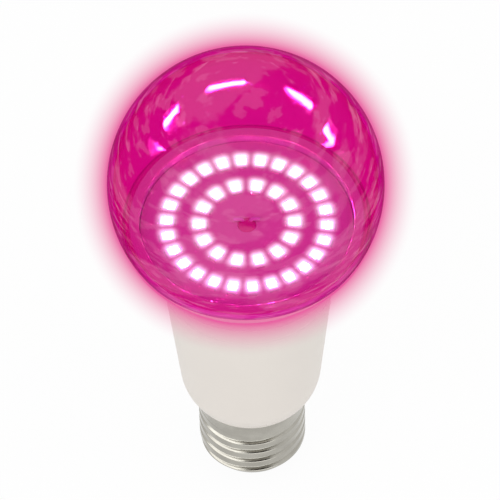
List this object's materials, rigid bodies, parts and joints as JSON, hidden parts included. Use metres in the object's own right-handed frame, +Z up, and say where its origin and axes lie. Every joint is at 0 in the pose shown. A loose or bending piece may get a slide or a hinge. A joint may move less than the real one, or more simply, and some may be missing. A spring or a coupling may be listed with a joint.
{
  "type": "led grow light bulb",
  "caption": "LED grow light bulb: clear magenta ball-shaped cover over a round board with rings of LED packages, white flared housing with the driver inside, and a screw cap.",
  "frame": {"origin": "middle of the centre contact's flat tip, on the bulb's axis", "axes": "+Z up the bulb's axis from the screw cap to the crown of the cover, -Y towards the camera of the picture"},
  "size_m": [0.065, 0.065, 0.1376],
  "materials": {
    "clear_cover": "clear, tinted magenta, polished",
    "housing_plastic": "warm white, fine satin",
    "cup_metal": "pressed, plain",
    "board_face": "white solder mask",
    "cap_metal": "nickel plated, rolled",
    "insulator_black": "moulded black",
    "contact_metal": "tinned",
    "driver_laminate": "paper laminate",
    "capacitor_sleeve": "shrink sleeve",
    "inductor_sleeve": "ferrite and sleeve",
    "film_box": "dipped",
    "chip_body": "moulded",
    "resistor_coat": "coated",
    "lead_white": "insulation",
    "lead_red": "insulation",
    "lead_black": "insulation",
    "led_package": "white package, lit"
  },
  "bodies": {
    "root": {"globe_cover": "clear_cover", "housing": "housing_plastic", "heat_sink_cup": "cup_metal", "led_board": "board_face", "screw_shell": "cap_metal", "base_insulator": "insulator_black", "centre_contact": "contact_metal", "driver_board": "driver_laminate", "input_capacitor": "capacitor_sleeve", "output_capacitor": "capacitor_sleeve", "inductor": "inductor_sleeve", "film_capacitor": "film_box", "driver_chip": "chip_body", "bridge_rectifier": "chip_body", "fuse_resistor": "resistor_coat", "led_lead_positive": "lead_white", "led_lead_negative": "lead_white", "live_lead": "lead_red", "neutral_lead": "lead_black", "led_outer_01": "led_package", "led_outer_02": "led_package", "led_outer_03": "led_package", "led_outer_04": "led_package", "led_outer_05": "led_package", "led_outer_06": "led_package", "led_outer_07": "led_package", "led_outer_08": "led_package", "led_outer_09": "led_package", "led_outer_10": "led_package", "led_outer_11": "led_package", "led_outer_12": "led_package", "led_outer_13": "led_package", "led_outer_14": "led_package", "led_outer_15": "led_package", "led_outer_16": "led_package", "led_outer_17": "led_package", "led_outer_18": "led_package", "led_outer_19": "led_package", "led_outer_20": "led_package", "led_outer_21": "led_package", "led_outer_22": "led_package", "led_outer_23": "led_package", "led_outer_24": "led_package", "led_outer_25": "led_package", "led_outer_26": "led_package", "led_inner_01": "led_package", "led_inner_02": "led_package", "led_inner_03": "led_package", "led_inner_04": "led_package", "led_inner_05": "led_package", "led_inner_06": "led_package", "led_inner_07": "led_package", "led_inner_08": "led_package", "led_inner_09": "led_package", "led_inner_10": "led_package", "led_inner_11": "led_package", "led_inner_12": "led_package", "led_inner_13": "led_package", "led_inner_14": "led_package"}
  },
  "joints": []
}
